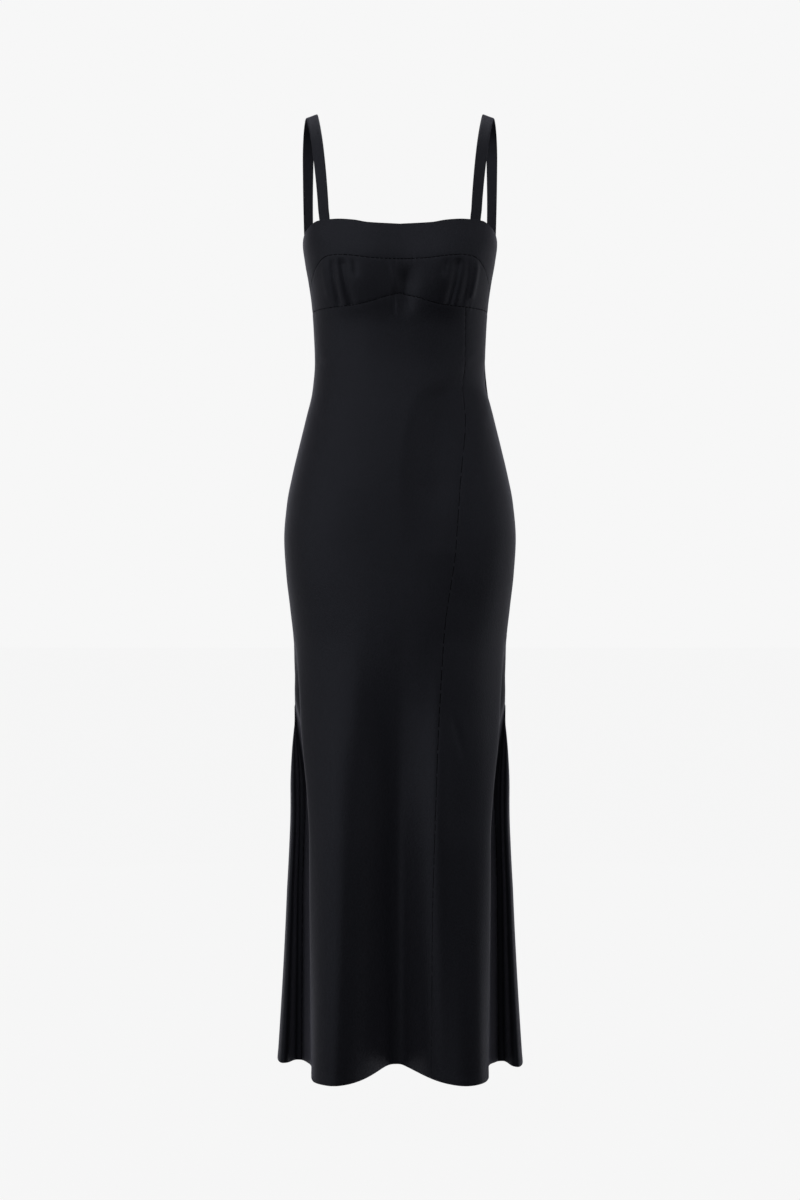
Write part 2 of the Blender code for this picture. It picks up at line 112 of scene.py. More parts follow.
# The figure that the cut follows: half width, depth in front of and behind the axis, and how square
# its corners are, where 2 is an ellipse.
SECTIONS = {
    "z": (-0.150, -0.185, -0.210, -0.240, -0.270, -0.310, -0.350, -0.390, -0.430,
          -0.470, -0.510, -0.550, -0.600, -0.650, -0.700, -0.750, -0.800, -0.850, -0.900),
    "half_width": (0.1350, 0.1370, 0.1338, 0.1285, 0.1247, 0.1222, 0.1208, 0.1240, 0.1332,
                   0.1430, 0.1524, 0.1600, 0.1640, 0.1612, 0.1556, 0.1509, 0.1530, 0.1560, 0.1615),
    "front": (0.090, 0.094, 0.095, 0.092, 0.089, 0.083, 0.081, 0.085, 0.091,
              0.096, 0.100, 0.102, 0.103, 0.103, 0.103, 0.102, 0.101, 0.100, 0.100),
    "back": (0.082, 0.088, 0.088, 0.086, 0.083, 0.078, 0.075, 0.079, 0.090,
             0.102, 0.112, 0.119, 0.123, 0.120, 0.114, 0.108, 0.104, 0.102, 0.102),
    "corner": (3.20, 3.10, 2.90, 2.60, 2.45, 2.35, 2.30, 2.30, 2.30,
               2.35, 2.45, 2.60, 2.70, 2.60, 2.38, 2.20, 2.12, 2.10, 2.10),
}

# The skirt's flutes: the distance from the axis of each crest and valley, at the knee and at the
# hem, and how far the hem rises above HEM_Z there. First those across the front.
FRONT_FLUTES = {
    "angle": (-46, -36, -30, -25, -20, -12, 0, 9, 17, 25, 32, 40, 49),
    "knee": (0.142, 0.1345, 0.122, 0.110, 0.0975, 0.0845, 0.0795, 0.086, 0.0985, 0.1075, 0.116, 0.1262,
             0.1385),
    "hem": (0.155, 0.153, 0.126, 0.098, 0.071, 0.058, 0.056, 0.060, 0.076, 0.1015, 0.1235, 0.143,
            0.150),
    "rise": (0.000, 0.000, 0.001, 0.006, 0.014, 0.016, 0.016, 0.013, 0.010, 0.004, -0.0005, -0.003,
             -0.0015),
}

# Then those from the fold at the edge of the front column round to the back, the same on both
# sides but for the hem's rise. The turns are how far the cloth has swung back round the axis from
# its angle, in degrees: the outer flute swings forward over the valley behind the column.
SIDE_FLUTES = {
    "angle": (59, 65, 71, 80, 88, 94, 101, 107, 114, 122, 130),
    "knee": (0.1455, 0.138, 0.1262, 0.1264, 0.1369, 0.1466, 0.1502, 0.1563, 0.1622, 0.1646,
             0.1460),
    "knee_turn": (0.0, 0.0, 2.4, 5.5, 8.7, 4.6, -8.0, -13.4, -12.1, -10.3, -7.4),
    "hem": (0.143, 0.135, 0.124, 0.127, 0.1417, 0.1538, 0.1606, 0.1716, 0.1821, 0.1869,
            0.1637),
    "hem_turn": (0.0, 0.0, 2.6, 9.1, 15.1, 10.3, -6.0, -12.3, -9.7, -6.0, -5.0),
    "rise_left": (0.000, 0.001, 0.003, 0.003, 0.000, 0.000, -0.002, -0.003, -0.001, 0.000, 0.002),
    "rise_right": (0.000, 0.001, 0.003, 0.003, 0.002, 0.002, 0.003, 0.003, 0.005, 0.002, 0.002),
}

# And those across the back, from the wearer's left to the right.
BACK_FLUTES = {
    "angle": (143, 157, 174, 187, 197, 207, 219),
    "knee": (0.151, 0.119, 0.128, 0.119, 0.124, 0.118, 0.148),
    "knee_turn": (-4.5, -2.0, 0.0, 0.0, 0.0, 1.5, 4.5),
    "hem": (0.180, 0.126, 0.158, 0.133, 0.149, 0.124, 0.176),
    "hem_turn": (-3.0, -1.0, 0.0, 0.0, 0.0, 1.0, 3.0),
    "rise": (0.000, 0.002, 0.000, 0.001, 0.000, 0.002, 0.000),
}

# The fold at each edge of the front column: its angle down the skirt.
COLUMN_EDGE = {
    "z": (-0.700, -0.750, -0.790, -0.830, -0.860, -0.920, -0.970, -1.030, -1.350),
    "angle": (81.0, 78.5, 76.3, 73.6, 71.0, 65.5, 62.0, 59.3, 59.0),
}

# The fold that starts behind that edge, higher up than the flutes: its depth, how far behind the edge
# it runs in degrees, and how much fuller the skirt is beyond it.
COLUMN_FOLD = {
    "z": (-0.740, -0.790, -0.830, -0.860, -0.890, -0.945, -1.000, -1.040, -1.100),
    "depth": (0.0000, 0.0060, 0.0110, 0.0105, 0.0090, 0.0060, 0.0020, 0.0000, 0.0000),
    "behind": (5.5, 6.0, 7.0, 7.8, 8.5, 9.0, 9.0, 9.0, 9.0),
    "beyond": (0.0000, 0.0010, 0.0050, 0.0028, 0.0013, -0.0008, -0.0018, -0.0012, 0.0000),
}
FOLD_SPREAD = 5.0

# The flutes' curve is also read at steps to both sides, each reading with its weight. A step is in
# degrees, with what the front and the back add to it and the angles over which they stop and start.
SMOOTHING = {-2: 1, -1: 4, 0: 6, 1: 4, 2: 1}
SMOOTH_STEP = 0.9
SMOOTH_FRONT = 2.2
SMOOTH_FRONT_STOPS = (42, 55)
SMOOTH_BACK = 1.3
SMOOTH_BACK_STARTS = (118, 132)

SIDE_STARTS = 10  # the degrees past the column's edge over which the side flutes start
SIDE_STOPS = (118, 138)  # and the angles over which they stop

# The top edge of the band: the neckline in front, the armholes at the sides, the back.
NECK = {
    "angle": (0, 25, 36, 47, 58, 66, 72.5, 79, 90, 108, 124, 145, 180),
    "z": (-0.1690, -0.1665, -0.1625, -0.1605, -0.1610, -0.1680, -0.1750, -0.1825, -0.1890,
          -0.1900, -0.1890, -0.1930, -0.1960),
}

# The seam between the band and the bust panel, and the seam under the bust.
BAND_SEAM = {
    "angle": (0, 18, 28, 34, 42, 48, 53, 56.5, 61, 66, 72, 78, 82, 86),
    "z": (-0.2185, -0.2176, -0.2152, -0.2133, -0.2118, -0.2124, -0.2165, -0.2222, -0.2290,
          -0.2380, -0.2465, -0.2545, -0.2640, -0.2815),
}
UNDERBUST = {
    "angle": (0, 14, 24, 33, 42, 60, 90, 180),
    "z": (-0.2638, -0.2698, -0.2752, -0.2788, -0.2805, -0.2812, -0.2815, -0.2815),
}

# The slanting seam that parts the front from the wearer's left side front.
SLANT_SEAM = {
    "z": (-0.280, -0.377, -0.438, -0.506, -0.577, -0.648, -0.719, -0.849, -1.015, -1.135, -1.350),
    "x": (0.0905, 0.0915, 0.0941, 0.0886, 0.0811, 0.0727, 0.0624, 0.0520, 0.0445, 0.0412, 0.0395),
}
HALVINGS = 40  # how often the search for its angle halves

# The bust's swell on each side.
CUP_ANGLE = 41.0
CUP_SWELL = 0.014
CUP_SPREAD = 27.0
CUP_Z = -0.236
CUP_FADE_UP = 0.052
CUP_FADE_DOWN = 0.046
CUP_MEET = 14.0  # how flat the cloth spans the middle between them, in degrees

# The soft folds of the bust panel: the angle at its top and bottom edge, the half width in degrees
# towards the wearer's right and left, the height (a trough is negative), and how far down the panel
# it ends, 0 at the band and 1 under the bust.
PLEATS = {
    "top": (-52.0, -46.0, -40.8, -32.5, 32.5, 40.6, 46.0, 52.0),
    "bottom": (-54.5, -48.6, -40.2, -31.0, 31.0, 40.2, 48.8, 54.5),
    "right": (2.6, 1.5, 1.7, 2.0, 2.4, 4.5, 3.0, 2.0),
    "left": (2.0, 3.2, 4.5, 2.4, 2.0, 1.9, 1.5, 2.6),
    "height": (0.0006, -0.0032, -0.0048, -0.0022, -0.0020, -0.0042, -0.0010, 0.0020),
    "end": (0.90, 1.10, 1.15, 0.50, 0.50, 1.15, 1.05, 0.90),
}
PLEAT_OPENS = 0.22  # the share of the panel over which each deepens, and that over which it closes
PLEAT_CLOSES = 0.20

# Soft creases across the front: each runs straight between two points, in x and z,
# as a trough or a ridge with a half width to the wearer's right and left, and a height. The first
# are at the hollow between the cups.
FRONT_CREASES = {
    "from_x": (0.0120, -0.0125, -0.0010, 0.0115, -0.0083, -0.0040, 0.0710, -0.0840, -0.0900, 0.0600,
               -0.0500, 0.0500, -0.1020, 0.1010, 0.0920, -0.0640),
    "from_z": (-0.2330, -0.2240, -0.2660, -0.2680, -0.2630, -0.7900, -0.8480, -0.8700, -0.5200, -0.6000,
               -0.3050, -0.3000, -0.3350, -0.3400, -0.7400, -0.7500),
    "to_x": (0.0050, -0.0040, -0.0010, 0.0150, -0.0075, -0.0020, 0.0850, -0.0900, -0.0720, 0.0900,
             -0.0420, 0.0450, -0.0760, 0.0820, 0.0900, -0.0640),
    "to_z": (-0.2880, -0.2580, -0.2880, -0.2860, -0.2900, -1.3500, -0.9050, -1.0400, -0.6000, -0.6700,
             -0.3700, -0.3500, -0.3560, -0.3500, -0.9600, -0.9800),
    "right": (0.0110, 0.0035, 0.0030, 0.0035, 0.0030, 0.0450, 0.0050, 0.0150, 0.0300, 0.0180, 0.0120,
              0.0120, 0.0050, 0.0050, 0.0280, 0.0300),
    "left": (0.0120, 0.0035, 0.0030, 0.0050, 0.0022, 0.0300, 0.0050, 0.0150, 0.0300, 0.0180, 0.0120,
             0.0120, 0.0050, 0.0050, 0.0320, 0.0180),
    "height": (-0.0060, 0.0008, 0.0005, -0.0012, -0.0015, -0.0090, -0.0011, 0.0013, 0.0016, 0.0008,
               0.0006, 0.0006, -0.0008, -0.0007, 0.0048, 0.0026),
}

# The like of them at the sides and back, where each runs from one angle and height to another.
ROUND_CREASES = {
    "from_angle": (76, -78, 74, -75, -118, 122, 150, -160, 168, -140, 112),
    "from_z": (-0.345, -0.35, -0.41, -0.42, -0.34, -0.35, -0.36, -0.35, -0.72, -0.74, -0.40),
    "to_angle": (62, -64, 58, -60, -140, 145, 176, -178, 160, -150, 134),
    "to_z": (-0.352, -0.358, -0.43, -0.44, -0.36, -0.37, -0.38, -0.37, -0.95, -0.98, -0.43),
    "right": (0.006, 0.006, 0.010, 0.010, 0.005, 0.008, 0.009, 0.009, 0.014, 0.018, 0.011),
    "left": (0.006, 0.006, 0.010, 0.010, 0.008, 0.005, 0.009, 0.009, 0.018, 0.014, 0.011),
    "height": (-0.0008, -0.0008, -0.0006, -0.0006, -0.0010, -0.0010, -0.0008, -0.0008, -0.0014, -0.0014,
               -0.0009),
}
CREASE_DEEPENS = (-0.25, 0.35)  # the shares of its length over which a crease deepens, and fades
CREASE_FADES = (0.55, 1.25)

# The hollow at the wearer's left of the belly: down the dress, the x where the cloth begins to fall
# back, the x where it is deepest, and how deep.
BELLY_HOLLOW = {
    "z": (-0.345, -0.365, -0.385, -0.412, -0.440, -0.467, -0.522, -0.575, -0.620),
    "begins": (0.088, 0.075, 0.046, 0.014, 0.006, 0.000, -0.004, -0.004, 0.000),
    "deepest": (0.104, 0.101, 0.088, 0.066, 0.058, 0.056, 0.054, 0.052, 0.052),
    "depth": (0.0000, 0.0018, 0.0048, 0.0080, 0.0104, 0.0114, 0.0106, 0.0042, 0.0000),
}
BELLY_RISE = 0.062  # how much further on it has come back

# The soft ridge that the slanting seam's allowances raise in the skirt.
SEAM_RIDGE = {
    "z": (-0.740, -0.860, -1.000, -1.350),
    "height": (0.0000, 0.0042, 0.0085, 0.0095),
}
RIDGE_SPREAD = (0.014, 0.023)  # on its right, and on its left

# Small ripples square to the seams: how far they reach from a seam, how high they are, and the shift
# of their waves along it.
PUCKERS = {
    "underbust": (0.007, 0.00010, 2.0),
    "side": (0.006, 0.00008, 4.0),
    "band": (0.006, 0.00012, 1.0),
    "slant": (0.008, 0.00010, 3.0),
}
PUCKER_PITCHES = (431, 602, 773)  # of their waves, in radians a metre
PUCKER_SHIFT = 1.7  # by how many of a seam's shifts each wave is further on than the one before
PUCKER_SWELL = 37  # the pitch at which they grow and calm, and how high they are on the whole
PUCKER_LEVEL = 0.55
HIP_PUCKER = 0.00030  # how much higher they are on the slanting seam at the hip, and where that is
HIP_PUCKER_Z = -0.465
HIP_PUCKER_SPREAD = 0.055

# The strap's middle line on the wearer's left, from the band's front edge over the shoulder to its
# back edge, with how far its width has turned round the vertical, and slopes down outwards.
STRAP = {
    "x": (0.1052, 0.1072, 0.1110, 0.1160, 0.1217, 0.1258, 0.1295, 0.1318,
          0.1325, 0.1325, 0.1317, 0.1303),
    "y": (-0.0775, -0.0735, -0.0640, -0.0490, -0.0260, 0.0000, 0.0240, 0.0380,
          0.0450, 0.0480, 0.0476, 0.0454),
    "z": (-0.1600, -0.1280, -0.0870, -0.0470, -0.0150, -0.0011, -0.0130, -0.0420,
          -0.0800, -0.1200, -0.1600, -0.1895),
    "turn": (30.0, 28.0, 23.0, 16.0, 8.0, 0.0, -8.0, -20.0, -32.0, -39.0, -42.0, -44.0),
    "roll": (0.0, 2.0, 6.0, 11.0, 17.0, 20.0, 17.0, 11.0, 6.0, 2.0, 0.0, 0.0),
}

# Soft boxes round the dress, as in a light tent: how far up each ring of them stands in degrees, the
# distance, width and height of its boxes, and each box's direction from the front (plus is the
# wearer's left) with its power in watts.
RINGS = {
    "front_right": (4, 3.0, 0.85, 2.5, {-60: 3.4, -45: 2.9, -30: 2.9, -15: 2.8}),
    "front_left": (9, 3.0, 0.85, 2.0, {0: 1.4, 15: 0.5, 30: 1.2, 45: 2.0, 60: 0.8}),
    "level": (0, 3.0, 0.85, 2.6, {-165: 2.2, -150: 1.9, -135: 1.4, -120: 1.0, -105: 1.5, -90: 1.4,
                                  -75: 2.2, 75: 1.4, 90: 2.5, 105: 2.3, 120: 1.2, 135: 1.4, 150: 1.8,
                                  165: 2.1}),
    "high": (42, 3.0, 1.20, 1.2, {-75: 2.5, -45: 2.1, -15: 3.0, 15: 2.0, 45: 1.0, 75: 1.5}),
    "top": (89, 2.4, 1.50, 1.5, {0: 9.0}),
    "low": (-35, 3.0, 1.20, 1.2, {110: 4.3, -110: 2.0, -25: 1.0, 15: 0.5}),
}

# The satin's face and its duller reverse: colour, roughness, sheen and the depth of the weave.
SATINS = {
    "satin_face": ((0.0057, 0.0060, 0.0088), 0.44, 0.54, 0.00006),
    "satin_reverse": ((0.0063, 0.0066, 0.0092), 0.60, 0.43, 0.00005),
}
# Its unevenness, as noise: the scale across and along the cloth, and the detail.
WEAVE = {
    "warp floats": (3200.0, 420.0, 2.0),
    "uneven threads": (900.0, 60.0, 3.0),
    "grain": (620.0, 380.0, 2.0),
    "soft unevenness": (26.0, 17.0, 4.0),
    "tone": (9.0, 5.0, 3.0),
}
NOISE_RANGE = (0.3, 0.7)  # where nearly all of a noise's values lie
TONE_SHARE = 0.14  # how far the colour varies, as a share of it
GLOSS_VARIES = 0.04  # how far the roughness varies

# Each panel's width and height, for its grid, and the grid's even steps across and down.
PANEL_GRIDS = {
    "band_front": ((0.36, 0.07), (230, 34)),
    "band_back": ((0.34, 0.09), (120, 30)),
    "bust_panel": ((0.34, 0.06), (500, 44)),
    "front_panel": ((0.30, 1.07), (170, 230)),
    "front_side_panel": ((0.12, 1.07), (76, 230)),
    "back_panel": ((0.44, 1.07), (190, 220)),
}


# ---------------------------------------------------------------- the surface


def through(xs, ys, x):
    """A smooth curve through the points (xs, ys), with no overshoot, at x. xs rise."""
    xs, ys, x = (np.asarray(a, float) for a in (xs, ys, x))
    step = np.diff(xs)
    slope = np.diff(ys) / step
    before, after = slope[:-1], slope[1:]
    weight_a = 2 * step[1:] + step[:-1]
    weight_b = step[1:] + 2 * step[:-1]
    same_way = before * after > 0
    safe = np.where(same_way, before, 1.0), np.where(same_way, after, 1.0)
    middle = (weight_a + weight_b) / (weight_a / safe[0] + weight_b / safe[1])
    tangent = np.concatenate([[slope[0]], np.where(same_way, middle, 0.0), [slope[-1]]])
    i = np.clip(np.searchsorted(xs, x) - 1, 0, len(step) - 1)
    t = np.clip((x - xs[i]) / step[i], 0.0, 1.0)
    rise = ys[i] * (1 + 2 * t) * (1 - t) ** 2 + ys[i + 1] * t * t * (3 - 2 * t)
    return rise + step[i] * (tangent[i] * t * (1 - t) ** 2 - tangent[i + 1] * t * t * (1 - t))


def wrapped(angle):
    """The same angle, from -180 to 180."""
    return (np.asarray(angle, float) + 180.0) % 360.0 - 180.0


def down_table(table, column, z):
    """A column of a table whose rows go down the dress, at height z."""
    return through(-np.array(table["z"]), table[column], -np.asarray(z, float))


def flutes(right, front, left, back, angle):
    """The flutes' tables as one soft curve right round the dress, at an angle. right and left have a
    value for each row of SIDE_FLUTES, and front and back for each row of their own tables."""
    sides = np.array(SIDE_FLUTES["angle"], float)
    angles = np.concatenate([-sides[::-1], FRONT_FLUTES["angle"], sides, BACK_FLUTES["angle"]])
    values = np.tile(np.concatenate([right[::-1], front, left, back]), 3)
    turns = np.concatenate([angles - 360, angles, angles + 360])
    side = np.abs(wrapped(angle))
    step = SMOOTH_STEP + SMOOTH_FRONT * (1 - eased(side, *SMOOTH_FRONT_STOPS))
    step = step + SMOOTH_BACK * eased(side, *SMOOTH_BACK_STARTS)
    total = 0
    for steps, weight in SMOOTHING.items():
        total = total + weight * through(turns, values, wrapped(angle + steps * step))
    return total / sum(SMOOTHING.values())


def flute_radius(level, angle):
    """The flutes' distance from the axis, at the level "knee" or "hem"."""
    side = SIDE_FLUTES[level]
    return flutes(side, FRONT_FLUTES[level], side, BACK_FLUTES[level], angle)


def flute_turn(level, angle):
    """How far the flutes have swung round the axis, at the level "knee" or "hem"."""
    side = np.array(SIDE_FLUTES[level + "_turn"])
    front = np.zeros(len(FRONT_FLUTES["angle"]))
    return flutes(-side, front, side, BACK_FLUTES[level + "_turn"], angle)


def mirrored_edge(table, angle):
    """The height of an edge or seam that is the same on both sides of the dress."""
    return through(table["angle"], table["z"], np.abs(wrapped(angle)))


def bell(distance, spread):
    """1 at no distance, falling softly to 0."""
    return np.exp(-((distance / spread) ** 2))


def eased(value, start, end):
    """0 before start, 1 after end, and smooth between them."""
    t = np.clip((value - start) / (end - start), 0.0, 1.0)
    return t * t * (3 - 2 * t)


def section_radius(angle, z):
    """How far the smooth figure stands from the axis."""
    turn = np.radians(angle)
    front, back = down_table(SECTIONS, "front", z), down_table(SECTIONS, "back", z)
    depth = np.where(np.cos(turn) > 0, front, back)
    corner = down_table(SECTIONS, "corner", z)
    across = np.abs(np.sin(turn)) / down_table(SECTIONS, "half_width", z)
    along = np.abs(np.cos(turn)) / depth
    return (across**corner + along**corner) ** (-1.0 / corner)


def cup_swell(angle, z):
    """How far the bust stands out of the smooth figure."""
    level = bell(z - CUP_Z, np.where(z > CUP_Z, CUP_FADE_UP, CUP_FADE_DOWN))
    return level * CUP_SWELL * bell(np.hypot(wrapped(angle), CUP_MEET) - CUP_ANGLE, CUP_SPREAD)


def flute_angle(angle, z):
    """The angle at which the flutes' tables are read, given where the column's edge is."""
    side = np.abs(wrapped(angle))
    edge = down_table(COLUMN_EDGE, "angle", z)
    foot, last = COLUMN_EDGE["angle"][-1], SIDE_FLUTES["angle"][-1]
    inside = side * foot / edge
    outside = foot + (side - edge) * (last - foot) / (last - edge)
    read = np.where(side < edge, inside, np.where(side < last, outside, side))
    return read * np.sign(wrapped(angle))


def beyond_column(angle, z):
    """1 over the side flutes, and 0 over the front column and the back."""
    side, edge = np.abs(wrapped(angle)), down_table(COLUMN_EDGE, "angle", z)
    return eased(side, edge, edge + SIDE_STARTS) * (1 - eased(side, *SIDE_STOPS))


def flare(down):
    """How far the skirt flares at a share of the way down to the hem, not yet scaled."""
    return (down**2 + FLARE_EASE**2) ** FLARE_POWER - FLARE_EASE ** (2 * FLARE_POWER)


def flare_shares(angle, z):
    """How far the skirt has taken the flutes' form at the knee, and then that at the hem."""
    column = eased(-z, -FLARE_START_Z, -KNEE_Z)
    side = eased(-z, -SIDE_FLARE_START_Z, -SIDE_FLARE_END_Z)
    knee = column + (side - column) * beyond_column(angle, z)
    way = (HEM_FLARE_START_Z - z) / (HEM_FLARE_START_Z - HEM_Z)
    return knee, flare(np.clip(way, 0.0, HEM_FLARE_PAST)) / flare(1.0)


def tube_radius(angle, z):
    """How far the cloth stands from the axis, without its small folds."""
    figure = section_radius(angle, z) + cup_swell(angle, z)
    at_knee, at_hem = flare_shares(angle, z)
    knee, hem = flute_radius("knee", flute_angle(angle, z)), flute_radius("hem", angle)
    fluted = figure * (1 - at_knee) + knee * at_knee + (hem - knee) * at_hem
    middle = down_table(COLUMN_EDGE, "angle", z) + down_table(COLUMN_FOLD, "behind", z)
    fold = bell(np.abs(wrapped(angle)) - middle, FOLD_SPREAD)
    fuller = down_table(COLUMN_FOLD, "beyond", z) * beyond_column(angle, z)
    return fluted + fuller - down_table(COLUMN_FOLD, "depth", z) * fold


def tube_turn(angle, z):
    """How far the cloth has swung round the axis."""
    at_knee, at_hem = flare_shares(angle, z)
    knee, hem = flute_turn("knee", flute_angle(angle, z)), flute_turn("hem", angle)
    return knee * at_knee + (hem - knee) * at_hem


def place(radius, angle, z):
    """Points of the cloth, as an array whose last side is x, y, z."""
    turn = np.radians(angle + tube_turn(angle, z))
    return np.stack([radius * np.sin(turn), -radius * np.cos(turn), z], axis=-1)


def neck(angle):
    """The height of the top edge, all round."""
    return mirrored_edge(NECK, angle)


def underbust(angle):
    """The height of the seam under the bust, which runs on round the back."""
    return mirrored_edge(UNDERBUST, angle)


def band_foot(angle):
    """The band's lower seam in front: round the cups, then level to the side seam."""
    inside = np.abs(wrapped(angle)) < BAND_SEAM["angle"][-1]
    seam = np.maximum(mirrored_edge(BAND_SEAM, angle), underbust(angle))
    return np.where(inside, seam, underbust(angle))


def hem_height(angle):
    """The height of the hem, all round."""
    right, left = SIDE_FLUTES["rise_right"], SIDE_FLUTES["rise_left"]
    return HEM_Z + flutes(right, FRONT_FLUTES["rise"], left, BACK_FLUTES["rise"], angle)


def slant_angle(z):
    """The angle of the slanting seam at height z, found by halving."""
    x = down_table(SLANT_SEAM, "x", z)
    low, high = np.zeros_like(x), np.full_like(x, SIDE_SEAM)
    for _ in range(HALVINGS):
        middle = (low + high) / 2
        inside = tube_radius(middle, z) * np.sin(np.radians(middle)) < x
        low, high = np.where(inside, middle, low), np.where(inside, high, middle)
    return (low + high) / 2


# ---------------------------------------------------------------- small form


def pleats(angle, share):
    """The bust panel's soft folds."""
    rise = np.zeros_like(angle)
    for top, bottom, right, left, height, end in zip(*PLEATS.values()):
        away = angle - top - (bottom - top) * share
        strength = eased(share, 0, PLEAT_OPENS) * (1 - eased(share, end - PLEAT_CLOSES, end))
        rise += height * strength * bell(away, np.where(away > 0, left, right))
    return rise


def straight_creases(table, starts, ends, across, z):
    """The creases of a table, at a distance across the cloth and a height."""
    rise = np.zeros_like(z)
    levels = (table[c] for c in ("from_z", "to_z", "right", "left", "height"))
    for u0, u1, z0, z1, right, left, height in zip(starts, ends, *levels):
        run = np.array([u1 - u0, z1 - z0])
        length = np.hypot(*run)
        along = ((across - u0) * run[0] + (z - z0) * run[1]) / length**2
        aside = ((z - z0) * run[0] - (across - u0) * run[1]) / length
        fade = eased(along, *CREASE_DEEPENS) * (1 - eased(along, *CREASE_FADES))
        rise += height * fade * bell(aside, np.where(aside > 0, left, right))
    return rise


def belly_hollow(x, z):
    """How deep the hollow beside the belly is."""
    begins, deepest = down_table(BELLY_HOLLOW, "begins", z), down_table(BELLY_HOLLOW, "deepest", z)
    hollow = eased(x, begins, deepest) * (1 - eased(x, deepest, deepest + BELLY_RISE))
    return down_table(BELLY_HOLLOW, "depth", z) * hollow


def seam_ridge(x, z):
    """How high the soft ridge at the slanting seam is."""
    aside = x - down_table(SLANT_SEAM, "x", z)
    right, left = RIDGE_SPREAD
    return down_table(SEAM_RIDGE, "height", z) * bell(aside, np.where(aside > 0, left, right))


def creases(angle, z, x):
    """The cloth's soft creases, all round, with the hollow and the ridge in front."""
    side = wrapped(angle)
    metres = np.radians(1) * BODY_RADIUS
    starts, ends = (metres * np.array(ROUND_CREASES[c], float) for c in ("from_angle", "to_angle"))
    rise = straight_creases(ROUND_CREASES, starts, ends, side * metres, z)
    front = straight_creases(FRONT_CREASES, FRONT_CREASES["from_x"], FRONT_CREASES["to_x"], x, z)
    front += seam_ridge(x, z) - belly_hollow(x, z)
    return rise + np.where(np.abs(side) < SIDE_SEAM, front, 0.0)


def pucker(away, along, reach, height, shift):
    """Small ripples square to a seam, uneven along it, that fade away from it."""
    wave = 0
    for k, pitch in enumerate(PUCKER_PITCHES, 1):
        wave = wave + math.sqrt(1 / k) * np.sin(along * pitch + shift * PUCKER_SHIFT * k)
    loud = PUCKER_LEVEL + (1 - PUCKER_LEVEL) * np.sin(along * PUCKER_SWELL + shift)
    return height * loud * wave * np.exp(-np.abs(away) / reach)


def seam_puckers(angle, z, name):
    """The ripples beside the seams of a panel."""
    along = np.radians(angle) * BODY_RADIUS
    rise = pucker(z - underbust(angle), along, *PUCKERS["underbust"])
    side = (SIDE_SEAM - np.abs(wrapped(angle))) * np.radians(1) * SIDE_RADIUS
    rise += pucker(side, z, *PUCKERS["side"])
    if name in ("band_front", "bust_panel"):
        rise += pucker(z - band_foot(angle), along, *PUCKERS["band"])
    if name in ("front_panel", "front_side_panel"):
        aside = (angle - slant_angle(z)) * np.radians(1) * SLANT_RADIUS
        reach, height, shift = PUCKERS["slant"]
        height = height + HIP_PUCKER * bell(z - HIP_PUCKER_Z, HIP_PUCKER_SPREAD)
        rise += pucker(aside, z, reach, height, shift)
    return rise


# ---------------------------------------------------------------- shells


def put(name, data):
    """A new object in the scene."""
    made = bpy.data.objects.new(name, data)
    bpy.context.scene.collection.objects.link(made)
    return made


def make_piece(name, points, faces, uv, materials):
    """A smooth object from points, faces and each point's cloth coordinates in metres."""
    mesh = bpy.data.meshes.new(name)
    mesh.from_pydata(points.reshape(-1, 3).tolist(), [], faces)
    corners = np.array([point for face in faces for point in face])
    layer = mesh.uv_layers.new(name="cloth")
    layer.data.foreach_set("uv", uv.reshape(-1, 2)[corners].astype(np.float32).ravel())
    for material in materials:
        mesh.materials.append(material)
    mesh.shade_smooth()
    return put(name, mesh)


def unit(vectors):
    """The same directions, each of length 1."""
    return vectors / np.linalg.norm(vectors, axis=-1, keepdims=True)


def stops(length, steps):
    """Shares from 0 to 1 across a panel of a length, with more close to both edges."""
    close = np.array(EDGE_STOPS) / length
    even = np.linspace(close[-1], 1 - close[-1], steps)
    return np.concatenate([close[:-1], even, 1 - close[-2::-1]])


def grid_normals(points):
    """The way that a grid of points faces, at each of them."""
    return unit(np.cross(np.gradient(points, axis=0), np.gradient(points, axis=1)))


def rounded(distance):
    """How far the cloth has turned in, at a distance from its edge."""
    t = np.clip(distance / EDGE_ROUND, 0.0, 1.0)
    return EDGE_ROUND * (1 - np.sqrt(1 - (1 - t) ** 2))


def slot(distance):
    """How deep the seam's slot is, at a distance from the panel's edge."""
    t = np.clip((distance - SEAM_LAP / 2) / (SLOT_REACH - SEAM_LAP / 2), 0.0, 1.0)
    return SLOT_DEPTH * (1 - t) + SEAM_DITCH * bell(distance, SEAM_REACH)


def edge_distances(points):
    """The distances to the left, right, top and bottom edge of a grid, along its rows and columns."""
    across = np.linalg.norm(np.diff(points, axis=1), axis=-1)
    down = np.linalg.norm(np.diff(points, axis=0), axis=-1)
    left = np.concatenate([np.zeros((len(points), 1)), np.cumsum(across, axis=1)], axis=1)
    top = np.concatenate([np.zeros((1, points.shape[1])), np.cumsum(down, axis=0)], axis=0)
    return {"left": left, "right": left[:, -1:] - left, "top": top, "bottom": top[-1:] - top}


def stitched_and_shaded(seam, angle, z):
    """Which of a grid's faces show the seam's dark line, stitches and painted shade, which short gaps
    break.
    """
    # The dark line: partly stitches and turned edge, partly painted shade in the seam's ditch.
    line = (seam[:-1, :-1] + seam[1:, 1:]) / 2 < SEAM_SHADE_LINE
    run = (z + np.radians(angle) * BODY_RADIUS)[:-1, :-1]
    return line & (np.sin(2 * np.pi * run / STITCH) > STITCH_GAP)


